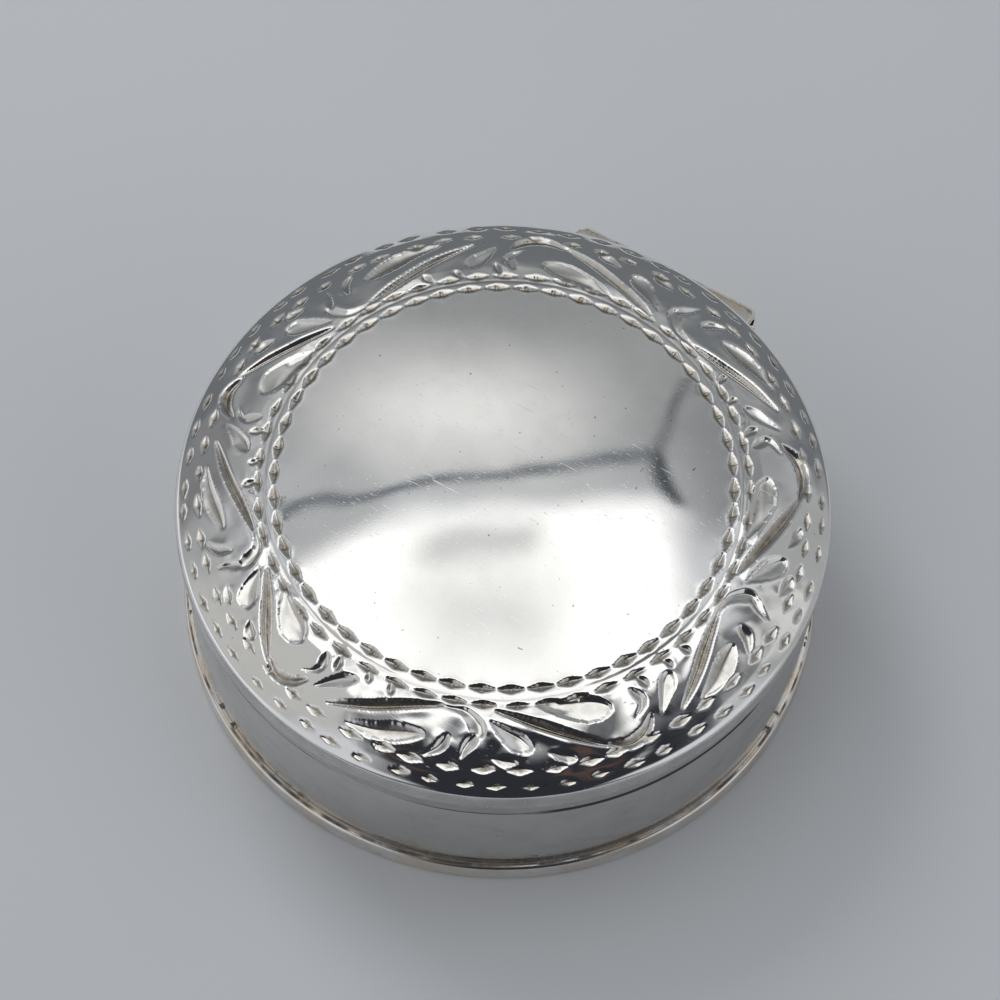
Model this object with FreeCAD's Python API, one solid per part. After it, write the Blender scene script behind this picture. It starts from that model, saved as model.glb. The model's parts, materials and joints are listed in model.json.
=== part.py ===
"""Round hinged pill box in silver sheet, built from its separate soldered and hinged pieces.

Millimetres, +Z up. The origin is the centre of the flat underside, and the hinge is at the back, at +Y.
"""
import FreeCAD, Part
import math
import os

Vector = FreeCAD.Vector
UP = Vector(0, 0, 1)
ALONG_HINGE = Vector(1, 0, 0)

# Side wall and base
side_radius = 17.75          # outside of the side wall and of the lid band
wall_thickness = 0.5
base_thickness = 0.55
base_lip_thickness = 0.15     # upturned edge of the base, soldered round the wall
base_lip_height = 1.6
foot_height = 1.3            # half-round wire soldered round the base lip
foot_depth = 0.25
seam_height = 8.1           # the plane where lid and box meet

# Inner bezel, the ring that the lid closes over
bezel_thickness = 0.45
bezel_above_seam = 1.25
bezel_below_seam = 2.6
bezel_clearance = 0.1        # between the bezel and the lid band

# Lid
lid_band_height = 1.4
lid_sheet = 0.5
lid_overhang = 0.25          # the domed top stands this much outside the band
dome_skirt_height = 0.9      # the straight part of the dome's turned-down edge
crown_radius = 12.4          # the plain, gently domed middle of the lid
crown_slope = 8.0           # degrees, at the rim of the plain middle
shoulder_slope = 24.5        # degrees, where the shoulder reaches the rolled edge
edge_roll_radius = 0.45

# Hinge
hinge_length = 11.6
knuckle_radius = 0.95
knuckle_depth = 0.4          # how far the knuckles are let into the wall
knuckle_count = 5            # box, lid, box, lid, box
knuckle_gap = 0.05
knuckle_end_round = 0.3
pin_radius = 0.42
pin_clearance = 0.03
pin_head_radius = 0.68
pin_head_height = 0.25
turning_clearance = 0.08     # round each knuckle, in the pieces that turn past it
bearer_seam_gap = 0.05
bearer_corner_radius = 0.9
lid_bearer_cover = 0.2       # sheet left above the groove for the tubes
box_bearer_cover = 0.85      # and below it
lid_stop_angle = 76.0        # degrees round the pin from straight back up to the lid bearer's edge
box_stop_angle = 34.3        # and down to the box bearer's edge: open by their sum, the two meet

# Worked out from the sizes above
wall_inner_radius = side_radius - wall_thickness
lid_band_inner_radius = wall_inner_radius + bezel_clearance
lid_band_top = seam_height + lid_band_height
lid_edge_height = lid_band_top + dome_skirt_height
dome_radius = side_radius + lid_overhang
hinge_y = side_radius + knuckle_radius - knuckle_depth
foot_inner_radius = side_radius + base_lip_thickness
knuckle_length = hinge_length / knuckle_count
groove_radius = knuckle_radius + turning_clearance


def ring(inner, outer, bottom, top):
    """A plain round band between two radii."""
    height = top - bottom
    band = Part.makeCylinder(outer, height, Vector(0, 0, bottom), UP)
    return band.cut(Part.makeCylinder(inner, height, Vector(0, 0, bottom), UP))


def rod_on_hinge(radius, start, end):
    """A solid rod round the pin's centre line, from start to end along it."""
    return Part.makeCylinder(radius, end - start, Vector(start, hinge_y, seam_height), ALONG_HINGE)


def knuckle_span(index):
    """Where knuckle number index starts and ends along the hinge, touching its neighbours."""
    start = -hinge_length / 2 + index * knuckle_length
    return start, start + knuckle_length


def let_in_hinge(piece, own_remainder):
    """Cut the hinge's groove: close round the piece's own knuckles and free round the others.

    own_remainder is 0 for the pieces of the box, whose knuckles are the first, third and fifth,
    and 1 for the pieces of the lid.
    """
    for index in range(knuckle_count):
        start, end = knuckle_span(index)
        if index % 2 == own_remainder:
            groove = rod_on_hinge(knuckle_radius, start, end)
        else:
            groove = rod_on_hinge(groove_radius, start, end)
        piece = piece.cut(groove)
    return piece


def line(start, end):
    """A straight edge of a section."""
    return Part.LineSegment(start, end).toShape()


def arc_point(centre, radius, degrees):
    """The point of a section's arc where the surface slopes down outwards by this many degrees."""
    slope = math.radians(degrees)
    return Vector(centre.x + radius * math.sin(slope), 0, centre.z + radius * math.cos(slope))


def arc_between(centre, radius, first, last):
    """The part of a section's arc between two slopes in degrees."""
    points = [arc_point(centre, radius, slope) for slope in (first, (first + last) / 2, last)]
    return Part.Arc(*points).toShape()


def base_tray():
    """Flat base with a low upturned lip round the foot of the wall."""
    lip_radius = side_radius + base_lip_thickness
    plate = Part.makeCylinder(lip_radius, base_thickness)
    lip = ring(side_radius, lip_radius, base_thickness, base_lip_height)
    return plate.fuse(lip).removeSplitter()


def foot_rim():
    """Half-round wire round the base lip, flat against it and underneath."""
    low_round = foot_depth / 2
    low_centre = Vector(foot_inner_radius + foot_depth - low_round, 0, low_round)
    high_centre = Vector(foot_inner_radius, 0, foot_height - foot_depth)
    inner_corner = Vector(foot_inner_radius, 0, 0)
    edges = [
        line(inner_corner, arc_point(low_centre, low_round, 180)),
        arc_between(low_centre, low_round, 180, 90),
        line(arc_point(low_centre, low_round, 90), arc_point(high_centre, foot_depth, 90)),
        arc_between(high_centre, foot_depth, 90, 0),
        line(arc_point(high_centre, foot_depth, 0), inner_corner),
    ]
    return Part.Face(Part.Wire(edges)).revolve(Vector(0, 0, 0), UP, 360)


def body_wall():
    """Side of the box, a strip bent round and soldered on the base."""
    return let_in_hinge(ring(wall_inner_radius, side_radius, base_thickness, seam_height), 0)


def inner_bezel():
    """Thin ring soldered inside the wall, standing above the seam so that the lid closes over it."""
    bottom = seam_height - bezel_below_seam
    top = seam_height + bezel_above_seam
    bezel = ring(wall_inner_radius - bezel_thickness, wall_inner_radius, bottom, top)
    return let_in_hinge(bezel, 0)


def lid_band():
    """Lower edge of the lid, which meets the wall at the seam."""
    return let_in_hinge(ring(lid_band_inner_radius, side_radius, seam_height, lid_band_top), 1)


def lid_dome():
    """Domed top with a gentle middle, a steeper shoulder and an edge turned down to the band."""
    vertical = 90.0
    roll_centre = Vector(dome_radius - edge_roll_radius, 0, lid_edge_height)
    roll_start = arc_point(roll_centre, edge_roll_radius, shoulder_slope)
    slopes = math.sin(math.radians(shoulder_slope)) - math.sin(math.radians(crown_slope))
    shoulder = (roll_start.x - crown_radius) / slopes
    shoulder_centre = arc_point(roll_centre, edge_roll_radius - shoulder, shoulder_slope)
    crown = crown_radius / math.sin(math.radians(crown_slope))
    crown_centre = arc_point(shoulder_centre, shoulder - crown, crown_slope)

    inner_shoulder = shoulder - lid_sheet
    inner_end = math.degrees(math.asin((lid_band_inner_radius - shoulder_centre.x) / inner_shoulder))
    inner_crown = crown - lid_sheet

    skirt_outer = Vector(dome_radius, 0, lid_band_top)
    skirt_inner = Vector(lid_band_inner_radius, 0, lid_band_top)
    edges = [
        arc_between(crown_centre, crown, 0, crown_slope),
        arc_between(shoulder_centre, shoulder, crown_slope, shoulder_slope),
        arc_between(roll_centre, edge_roll_radius, shoulder_slope, vertical),
        line(arc_point(roll_centre, edge_roll_radius, vertical), skirt_outer),
        line(skirt_outer, skirt_inner),
        line(skirt_inner, arc_point(shoulder_centre, inner_shoulder, inner_end)),
        arc_between(shoulder_centre, inner_shoulder, inner_end, crown_slope),
        arc_between(crown_centre, inner_crown, crown_slope, 0),
        line(arc_point(crown_centre, inner_crown, 0), arc_point(crown_centre, crown, 0)),
    ]
    return Part.Face(Part.Wire(edges)).revolve(Vector(0, 0, 0), UP, 360)


def bearer(bottom, top, stop_angle, own_remainder):
    """Strip between the round wall and the straight hinge, with its outer corners rounded."""
    outer_face = hinge_y + groove_radius * math.cos(math.radians(stop_angle))
    block = Part.makeBox(hinge_length, outer_face, top - bottom, Vector(-hinge_length / 2, 0, bottom))
    corners = [
        edge
        for edge in block.Edges
        if edge.BoundBox.ZLength > edge.BoundBox.XLength and edge.BoundBox.YMin > outer_face / 2
    ]
    block = block.makeFillet(bearer_corner_radius, corners)
    block = block.cut(Part.makeCylinder(side_radius, top - bottom, Vector(0, 0, bottom), UP))
    return let_in_hinge(block, own_remainder)


def lid_hinge_bearer():
    """Bearer soldered to the lid band above the seam, and cut to the dome's edge where it is taller."""
    top = seam_height + groove_radius + lid_bearer_cover
    piece = bearer(seam_height + bearer_seam_gap, top, lid_stop_angle, 1)
    return piece.cut(Part.makeCylinder(dome_radius, dome_skirt_height, Vector(0, 0, lid_band_top), UP))


def box_hinge_bearer():
    """Bearer soldered to the wall below the seam."""
    bottom = seam_height - groove_radius - box_bearer_cover
    return bearer(bottom, seam_height - bearer_seam_gap, box_stop_angle, 0)


def knuckle(index):
    """One length of hinge tube, with the free ends of the hinge rounded."""
    start, end = knuckle_span(index)
    start += knuckle_gap / 2
    end -= knuckle_gap / 2
    rod = rod_on_hinge(knuckle_radius, start, end)
    free_ends = []
    if index == 0:
        free_ends.append(start)
    if index == knuckle_count - 1:
        free_ends.append(end)
    for edge in list(rod.Edges):
        box = edge.BoundBox
        is_end_circle = box.XLength < knuckle_gap
        if is_end_circle and any(abs(box.XMin - place) < knuckle_gap / 2 for place in free_ends):
            rod = rod.makeFillet(knuckle_end_round, [edge])
    return rod.cut(rod_on_hinge(pin_radius + pin_clearance, start, end))


def hinge_pin():
    """Wire pin through all the knuckles, with a low domed head on each end."""
    half = hinge_length / 2 - knuckle_gap / 2
    pin = rod_on_hinge(pin_radius, -half, half)
    for side in (-1, 1):
        head = pin_head()
        if side < 0:
            head = head.mirror(Vector(0, 0, 0), ALONG_HINGE)
        pin = pin.fuse(head)
    return pin.removeSplitter()


def pin_head():
    """Low dome on the pin's +X end."""
    half = hinge_length / 2 - knuckle_gap / 2
    centre = Vector(half, hinge_y, seam_height)
    top = centre + Vector(pin_head_height, 0, 0)
    rim = centre + Vector(0, pin_head_radius, 0)
    lean = math.radians(45)
    bulge = centre + Vector(pin_head_height * math.sin(lean), pin_head_radius * math.cos(lean), 0)
    edges = [
        line(centre, top),
        Part.Arc(top, bulge, rim).toShape(),
        line(rim, centre),
    ]
    return Part.Face(Part.Wire(edges)).revolve(centre, ALONG_HINGE, 360)


def all_pieces():
    """Every piece by its node name."""
    pieces = {
        "lid_dome": lid_dome(),
        "lid_band": lid_band(),
        "lid_hinge_bearer": lid_hinge_bearer(),
        "body_wall": body_wall(),
        "inner_bezel": inner_bezel(),
        "base_tray": base_tray(),
        "foot_rim": foot_rim(),
        "box_hinge_bearer": box_hinge_bearer(),
        "hinge_pin": hinge_pin(),
    }
    for index in range(knuckle_count):
        if index % 2 == 1:
            side = "lid"
        else:
            side = "box"
        pieces[f"{side}_knuckle_{index + 1}"] = knuckle(index)
    return pieces


os.makedirs("parts", exist_ok=True)
for name, shape in all_pieces().items():
    solids = shape.Solids
    print(name, shape.isValid(), len(solids), round(shape.Volume, 3), shape.BoundBox)
    if len(solids) == 1:
        shape = solids[0]
    shape.exportStep(f"parts/{name}.step")
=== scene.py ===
"""Round engraved silver pill box: its visible pieces, their finishes and the studio.

Metres, +Z up, the hinge at the back, at +Y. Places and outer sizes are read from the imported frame.
"""
import json
import math
import random

import bpy
import numpy as np
from mathutils import Matrix, Vector, noise

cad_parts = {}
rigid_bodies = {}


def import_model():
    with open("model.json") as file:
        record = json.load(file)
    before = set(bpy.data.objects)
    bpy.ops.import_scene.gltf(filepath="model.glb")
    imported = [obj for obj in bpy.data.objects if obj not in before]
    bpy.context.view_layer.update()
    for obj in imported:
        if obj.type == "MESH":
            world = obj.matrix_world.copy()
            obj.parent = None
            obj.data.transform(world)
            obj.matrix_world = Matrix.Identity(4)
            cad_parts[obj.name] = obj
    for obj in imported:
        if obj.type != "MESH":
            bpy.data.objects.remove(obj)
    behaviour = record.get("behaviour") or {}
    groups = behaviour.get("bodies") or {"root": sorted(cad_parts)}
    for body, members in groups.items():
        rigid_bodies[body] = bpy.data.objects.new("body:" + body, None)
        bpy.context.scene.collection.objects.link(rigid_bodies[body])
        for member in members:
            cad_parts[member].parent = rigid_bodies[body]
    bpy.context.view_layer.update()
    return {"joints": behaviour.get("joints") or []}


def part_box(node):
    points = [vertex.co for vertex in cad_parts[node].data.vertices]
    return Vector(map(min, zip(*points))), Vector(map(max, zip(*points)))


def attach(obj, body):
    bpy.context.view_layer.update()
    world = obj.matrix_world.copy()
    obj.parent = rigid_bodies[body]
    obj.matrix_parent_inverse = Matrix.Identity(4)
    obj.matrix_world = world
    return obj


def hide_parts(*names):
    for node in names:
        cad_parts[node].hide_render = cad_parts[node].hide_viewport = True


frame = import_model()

bl_info = {
    "name": "Engraved Silver Pill Box",
    "version": (1, 0, 0),
    "blender": (4, 5, 0),
    "location": "View3D > Sidebar > Pill Box",
    "description": "Builds the pieces of a round, hinged and engraved silver pill box",
    "category": "Add Mesh",
}

MM = 0.001
DOME_LOW, DOME_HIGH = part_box("lid_dome")
BAND_LOW, BAND_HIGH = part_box("lid_band")
WALL_LOW, WALL_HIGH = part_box("body_wall")
BEZEL_LOW, BEZEL_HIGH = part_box("inner_bezel")
BASE_LOW, BASE_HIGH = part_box("base_tray")
FOOT_LOW, FOOT_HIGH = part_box("foot_rim")
PIN_LOW, PIN_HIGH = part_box("hinge_pin")
HINGE = next(joint for joint in frame["joints"] if joint["name"] == "lid_hinge")
HINGE_LINE = Vector(HINGE["pos_m"])
SEAM_HEIGHT = HINGE_LINE.z
BAND_INNER_RADIUS = BEZEL_HIGH.x + 0.1 * MM
BEZEL_THICKNESS = 0.45 * MM
SKIRT_HEIGHT = 0.9 * MM
LID_EDGE_HEIGHT = DOME_LOW.z + SKIRT_HEIGHT
KNUCKLE_RADIUS = (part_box("box_knuckle_3")[1].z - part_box("box_knuckle_3")[0].z) / 2
KNUCKLE_PITCH = 2.32 * MM
KNUCKLE_GAP = 0.05 * MM
TURNING_ROOM = 0.08 * MM
PIN_RADIUS = 0.42 * MM
PIN_HEAD = 0.25 * MM
PIN_HEAD_RADIUS = 0.66 * MM
BOX_KNUCKLES = ("box_knuckle_1", "box_knuckle_3", "box_knuckle_5")
LID_KNUCKLES = ("lid_knuckle_2", "lid_knuckle_4")
CLOSE = 0.01 * MM  # points nearer than this are taken to be in one place
RING_STEPS = 480


# ---------------------------------------------------------------- sizes and colours that a user may change

class PillBoxLidSizes(bpy.types.PropertyGroup):
    """Section of the lid's domed top."""

    crown_radius: bpy.props.FloatProperty(
        name="Crown Radius", description="Radius of the plain middle of the lid",
        default=12.4 * MM, unit="LENGTH")
    crown_slope: bpy.props.FloatProperty(
        name="Crown Slope", description="Slope of the lid at the rim of its plain middle",
        default=math.radians(8.0), subtype="ANGLE")
    shoulder_slope: bpy.props.FloatProperty(
        name="Shoulder Slope", description="Slope of the lid where its edge starts to roll over",
        default=math.radians(24.5), subtype="ANGLE")
    edge_roll: bpy.props.FloatProperty(
        name="Edge Roll", description="Radius of the rolled edge",
        default=0.45 * MM, unit="LENGTH")
    skirt_height: bpy.props.FloatProperty(
        name="Skirt Height", description="Height of the straight part of the turned-down edge",
        default=SKIRT_HEIGHT, unit="LENGTH")
    sheet: bpy.props.FloatProperty(
        name="Sheet", description="Thickness of the lid's silver",
        default=0.5 * MM, unit="LENGTH")


class PillBoxEngravingSizes(bpy.types.PropertyGroup):
    """Depths of the engraver's cuts, and how finely the border is divided for them."""

    cut_depth: bpy.props.FloatProperty(
        name="Cut Depth", description="Depth of the deepest cut",
        default=0.24 * MM, unit="LENGTH")
    swell_height: bpy.props.FloatProperty(
        name="Swell Height", description="Height of the soft swellings between the cuts",
        default=0.13 * MM, unit="LENGTH")
    columns: bpy.props.IntProperty(
        name="Columns", description="Faces round the engraved border", default=1080)
    rows: bpy.props.IntProperty(
        name="Rows", description="Faces across the engraved border", default=66)


class PillBoxColours(bpy.types.PropertyGroup):
    """Colours of the silver and of the stains and painted shade on it."""

    silver: bpy.props.FloatVectorProperty(
        name="Silver", description="Colour of the clean silver",
        default=(0.93, 0.925, 0.915), subtype="COLOR", size=3)
    tarnish: bpy.props.FloatVectorProperty(
        name="Tarnish", description="Colour of the tarnish in the cuts",
        default=(0.31, 0.255, 0.18), subtype="COLOR", size=3)
    # Dirt colour, used also for the painted shade on the dome's upright edge and in the seam at the front
    # right.
    dirt_and_shade: bpy.props.FloatVectorProperty(
        name="Dirt", description="Colour of the old polish and dirt in the seams",
        default=(0.07, 0.055, 0.04), subtype="COLOR", size=3)
    warm_stain: bpy.props.FloatVectorProperty(
        name="Warm Stain", description="Colour of the golden stain by the hinge and foot",
        default=(0.86, 0.70, 0.50), subtype="COLOR", size=3)
    floor: bpy.props.FloatVectorProperty(
        name="Floor", description="Colour of the studio floor",
        default=(0.80, 0.825, 0.86), subtype="COLOR", size=3)


class PillBoxStudio(bpy.types.PropertyGroup):
    """Where the camera stands, and its lens."""

    azimuth: bpy.props.FloatProperty(
        name="Azimuth", description="Turn of the camera round the box, from the front",
        default=math.radians(28.7), subtype="ANGLE")
    elevation: bpy.props.FloatProperty(
        name="Elevation", description="Height of the camera above the table, as an angle",
        default=math.radians(60.95), subtype="ANGLE")
    roll: bpy.props.FloatProperty(
        name="Roll", description="Tilt of the camera to one side",
        default=math.radians(2.3), subtype="ANGLE")
    distance: bpy.props.FloatProperty(
        name="Distance", description="From the camera to the lid",
        default=162 * MM, unit="LENGTH")
    lens: bpy.props.FloatProperty(
        name="Lens", description="Focal length in millimetres", default=106.3)


def settings():
    """The user's settings for the whole box."""
    return bpy.context.scene.pill_box


class PillBoxSettings(bpy.types.PropertyGroup):
    """All the settings of the pill box."""

    lid: bpy.props.PointerProperty(type=PillBoxLidSizes)
    engraving: bpy.props.PointerProperty(type=PillBoxEngravingSizes)
    colours: bpy.props.PointerProperty(type=PillBoxColours)
    studio: bpy.props.PointerProperty(type=PillBoxStudio)


# ---------------------------------------------------------------- modelling by hand

def deselect_all():
    """Leave edit mode and select nothing."""
    if bpy.context.object and bpy.context.object.mode != "OBJECT":
        bpy.ops.object.mode_set(mode="OBJECT")
    bpy.ops.object.select_all(action="DESELECT")


def start_piece(name):
    """Name the primitive just added, put its place in its mesh, and open it for editing."""
    piece = bpy.context.object
    piece.name = name
    piece.data.name = name
    bpy.ops.object.transform_apply(location=True, rotation=True, scale=True)
    bpy.ops.object.mode_set(mode="EDIT")
    bpy.ops.mesh.select_mode(type="VERT")
    bpy.ops.mesh.select_all(action="SELECT")
    return piece


def close_piece(piece, smooth_angle=35):
    """Merge what the spin left double, point the faces outwards and leave edit mode."""
    bpy.ops.mesh.select_all(action="SELECT")
    bpy.ops.mesh.remove_doubles(threshold=0.002 * MM)
    bpy.ops.mesh.normals_make_consistent(inside=False)
    bpy.ops.object.mode_set(mode="OBJECT")
    bpy.ops.object.shade_smooth_by_angle(angle=math.radians(smooth_angle))
    return piece


def select_verts(piece, test):
    """In edit mode, select only the points that pass the test."""
    bpy.ops.object.mode_set(mode="OBJECT")
    for polygon in piece.data.polygons:
        polygon.select = False
    for edge in piece.data.edges:
        edge.select = False
    for vertex in piece.data.vertices:
        vertex.select = bool(test(vertex.co))
    bpy.ops.object.mode_set(mode="EDIT")


def select_edges(piece, test):
    """In edit mode, select only the edges whose two ends pass the test."""
    bpy.ops.mesh.select_mode(type="EDGE")
    bpy.ops.mesh.select_all(action="DESELECT")
    bpy.ops.object.mode_set(mode="OBJECT")
    points = piece.data.vertices
    for edge in piece.data.edges:
        first, last = edge.vertices
        edge.select = bool(test(points[first].co, points[last].co))
    bpy.ops.object.mode_set(mode="EDIT")


def draw_section(points):
    """In edit mode, draw a line through (radius, height) points by extruding one point along it."""
    bpy.ops.mesh.merge(type="CENTER")
    for (radius, height), (next_radius, next_height) in zip(points, points[1:]):
        step = (next_radius - radius, 0, next_height - height)
        bpy.ops.mesh.extrude_region_move(TRANSFORM_OT_translate={"value": step})


def add_section(points, name=None):
    """Add a section line, as a new piece or to the piece being edited."""
    radius, height = points[0]
    bpy.ops.mesh.primitive_plane_add(size=MM, location=(radius, 0, height))
    piece = bpy.context.object
    if name:
        piece = start_piece(name)
    draw_section(points)
    bpy.ops.mesh.select_linked()
    return piece


def spin_selected(steps, centre=(0, 0, 0), axis=(0, 0, 1), angle=math.tau, dupli=False):
    """Turn what is selected round an axis: by default, once round upright."""
    bpy.ops.mesh.spin(steps=steps, angle=angle, center=centre, axis=axis, dupli=dupli)


def spun_band(name, across, up, rounds, steps=RING_STEPS, place_y=0.0, centre=(0, 0, 0), axis=(0, 0, 1)):
    """A ring or tube: a rectangle with rounded corners, turned round an axis.

    across and up are its first and last x and z. rounds gives each corner's radius in mm, from the
    corner with the least x and z and on through least x, greatest z to greatest x, least z.
    """
    middle = ((across[0] + across[1]) / 2, place_y, (up[0] + up[1]) / 2)
    bpy.ops.mesh.primitive_plane_add(size=1, location=middle, rotation=(math.radians(90), 0, 0))
    bpy.context.object.scale = (across[1] - across[0], up[1] - up[0], 1)
    piece = start_piece(name)
    corners = [(across[0], up[0]), (across[0], up[1]), (across[1], up[1]), (across[1], up[0])]
    for corner, radius in zip(corners, rounds):
        if radius:
            select_verts(piece, lambda co, c=corner: math.hypot(co.x - c[0], co.z - c[1]) < CLOSE)
            bpy.ops.mesh.bevel(offset=radius * MM, segments=6, affect="VERTICES")
    bpy.ops.mesh.select_all(action="SELECT")
    bpy.ops.mesh.delete(type="ONLY_FACE")
    bpy.ops.mesh.select_all(action="SELECT")
    spin_selected(steps, centre, axis)
    return close_piece(piece)


def finish_piece(piece, body, nodes, material):
    """Let a piece ride on its body and stand for its CAD nodes, with its finish."""
    deselect_all()
    piece.data.materials.clear()
    piece.data.materials.append(material)
    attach(piece, body)
    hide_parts(*nodes)
    return piece


# ---------------------------------------------------------------- the lid's section

def on_arc(centre, radius, slope):
    """The point of an arc of the section where it slopes down outwards by this angle."""
    return centre[0] + radius * math.sin(slope), centre[1] + radius * math.cos(slope)


def arc_points(centre, radius, first, last, count):
    """Points along an arc of the section, both ends included."""
    return [on_arc(centre, radius, first + (last - first) * i / count) for i in range(count + 1)]


class LidSection:
    """The arcs of the dome's section: crown, shoulder and rolled edge, each tangent to the next."""

    def __init__(self, sizes):
        self.roll = sizes.edge_roll
        self.sheet = sizes.sheet
        self.crown_slope = sizes.crown_slope
        self.shoulder_slope = sizes.shoulder_slope
        self.outer = DOME_HIGH.x
        self.skirt_bottom = DOME_LOW.z
        self.edge_height = DOME_LOW.z + sizes.skirt_height
        self.roll_centre = (self.outer - self.roll, self.edge_height)
        roll_start = on_arc(self.roll_centre, self.roll, self.shoulder_slope)
        rise = math.sin(self.shoulder_slope) - math.sin(self.crown_slope)
        self.shoulder = (roll_start[0] - sizes.crown_radius) / rise
        self.shoulder_centre = on_arc(self.roll_centre, self.roll - self.shoulder, self.shoulder_slope)
        self.crown = sizes.crown_radius / math.sin(self.crown_slope)
        self.crown_centre = on_arc(self.shoulder_centre, self.shoulder - self.crown, self.crown_slope)

    def crown_point(self, radius):
        """The crown's outer point at this radius."""
        return on_arc(self.crown_centre, self.crown, math.asin(radius / self.crown))

    def border(self, inner_radius, rows):
        """Outer surface from the skirt's foot, over the roll and shoulder, in to inner_radius."""
        skirt = [(self.outer, self.skirt_bottom + (self.edge_height - self.skirt_bottom) * i / 4)
                 for i in range(4)]
        roll = arc_points(self.roll_centre, self.roll, math.pi / 2, self.shoulder_slope, 7)
        shoulder = arc_points(
            self.shoulder_centre, self.shoulder, self.shoulder_slope, self.crown_slope, rows)
        inner_slope = math.asin(inner_radius / self.crown)
        rim = arc_points(self.crown_centre, self.crown, self.crown_slope, inner_slope, 5)
        return skirt + roll + shoulder[1:] + rim[1:]

    def middle(self, start_radius):
        """Outer surface of the plain middle, in to the centre."""
        slope = math.asin(start_radius / self.crown)
        return arc_points(self.crown_centre, self.crown, slope, 0, 22)

    def underside(self, inner_radius):
        """Underside, from the centre out to the foot of the skirt."""
        crown = arc_points(self.crown_centre, self.crown - self.sheet, 0, self.crown_slope, 8)
        end = math.asin((inner_radius - self.shoulder_centre[0]) / (self.shoulder - self.sheet))
        shoulder = arc_points(self.shoulder_centre, self.shoulder - self.sheet, self.crown_slope, end, 8)
        return crown + shoulder[1:] + [(inner_radius, self.skirt_bottom)]


# ---------------------------------------------------------------- the engraver's cuts

# On an even fifth of the border, in degrees: where the falling stem starts, where it is lowest,
# where the rising stem ends and where the next fifth starts. The engraver's own fifths differ.
EVEN_MARKS = (0.0, 23.5, 56.5, 72.0)
CUT_MARKS = (
    (48.7, 71.7, 108.7),
    (126.2, 154.7, 185.7),
    (200.7, 224.7, 250.7),
    (264.7, 287.7, 320.7),
    (335.7, 355.7, 389.7),
)

# The cuts of one fifth: name, kind, width in mm, depth from 0 to 1, and its line as (degrees, mm radius)
FIFTH = (
    ("falling stem", "stem", 0.60, 1.00, ((0.0, 16.05), (8.0, 15.05), (16.0, 14.2), (23.5, 13.74))),
    ("falling stem's curl", "leaf", 0.75, 0.62, ((22.0, 13.78), (27.5, 13.85), (30.5, 14.45), (31.5, 15.1))),
    ("rising stem", "stem", 0.62, 1.00, ((34.0, 13.66), (42.0, 14.35), (50.0, 15.35), (56.5, 16.3))),
    ("first leaf", "leaf", 0.85, 0.62, ((-4.0, 15.75), (-1.0, 14.9), (3.0, 14.15))),
    ("long wedge", "wedge", 0.95, 0.60, ((5.5, 16.25), (12.0, 15.95), (20.6, 15.35))),
    ("hook", "wedge", 0.60, 0.60, ((21.5, 16.35), (24.0, 15.8), (25.3, 15.1))),
    ("spine leaf", "leaf", 0.55, 0.50, ((28.6, 16.2), (29.5, 15.6), (31.4, 14.9))),
    ("stem's leaf", "leaf", 1.15, 0.70, ((33.4, 14.15), (37.5, 14.9), (42.2, 15.75))),
    ("low tick", "wedge", 0.62, 0.55, ((34.3, 16.05), (36.5, 16.2), (39.0, 16.3))),
    ("high tick", "wedge", 0.66, 0.60, ((44.6, 15.8), (47.0, 16.1), (49.6, 16.3))),
    ("broad leaf", "leaf", 1.30, 0.60, ((42.5, 13.42), (50.0, 13.9), (59.0, 14.5))),
    ("top curl", "stem", 0.72, 0.90, ((55.0, 16.05), (59.5, 16.42), (63.2, 16.2), (66.0, 15.5))),
    ("crescent", "leaf", 0.60, 0.55, ((63.2, 15.5), (66.4, 14.9), (65.2, 13.95))),
    ("foot tick", "wedge", 0.55, 0.50, ((67.8, 13.5), (68.6, 13.85), (69.2, 14.35))),
    ("second foot tick", "wedge", 0.50, 0.50, ((9.8, 13.5), (10.6, 13.8), (11.2, 14.2))),
    ("third foot tick", "wedge", 0.45, 0.45, ((3.6, 13.45), (4.6, 13.7), (5.0, 14.05))),
)

# The rows of short cuts: radius in mm, number round, length and width in mm, depth, unevenness
ROWS = (
    ("inner chain", 12.53, 50, 1.66, 0.54, 0.62, 0.08),
    ("second chain", 13.40, 51, 1.58, 0.47, 0.56, 0.30),
    ("border row", 16.62, 57, 1.40, 0.46, 0.50, 0.50),
    ("edge row", 17.42, 60, 1.30, 0.38, 0.42, 0.55),
)
SCRIBED_LINE = 13.02


def plan_point(degrees, radius):
    """A point of the lid seen from above, in mm."""
    turn = math.radians(degrees)
    return radius * math.cos(turn), radius * math.sin(turn)


def on_fifth(degrees, fifth):
    """Where an angle on an even fifth falls on one of the engraver's own."""
    marks = list(CUT_MARKS[fifth])
    following = CUT_MARKS[(fifth + 1) % len(CUT_MARKS)][0]
    marks.append(following + 360 * (following < marks[0]))
    if degrees < 0:
        return marks[0] + degrees
    return float(np.interp(degrees, EVEN_MARKS, marks))


def smooth_line(points, count=84):
    """A smooth line through a few points of the plan, as an array of closely spaced points."""
    points = np.array(points, float)
    ends = np.vstack([2 * points[0] - points[1], points, 2 * points[-1] - points[-2]])
    line = []
    spans = len(points) - 1
    for index in range(spans):
        before, start, end, after = ends[index:index + 4]
        heading = end - before
        bend = 2 * before - 5 * start + 4 * end - after
        twist = 3 * start - before - 3 * end + after
        for t in np.linspace(0, 1, count // spans, endpoint=index == spans - 1):
            line.append(0.5 * (2 * start + heading * t + bend * t ** 2 + twist * t ** 3))
    return np.array(line)


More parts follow.
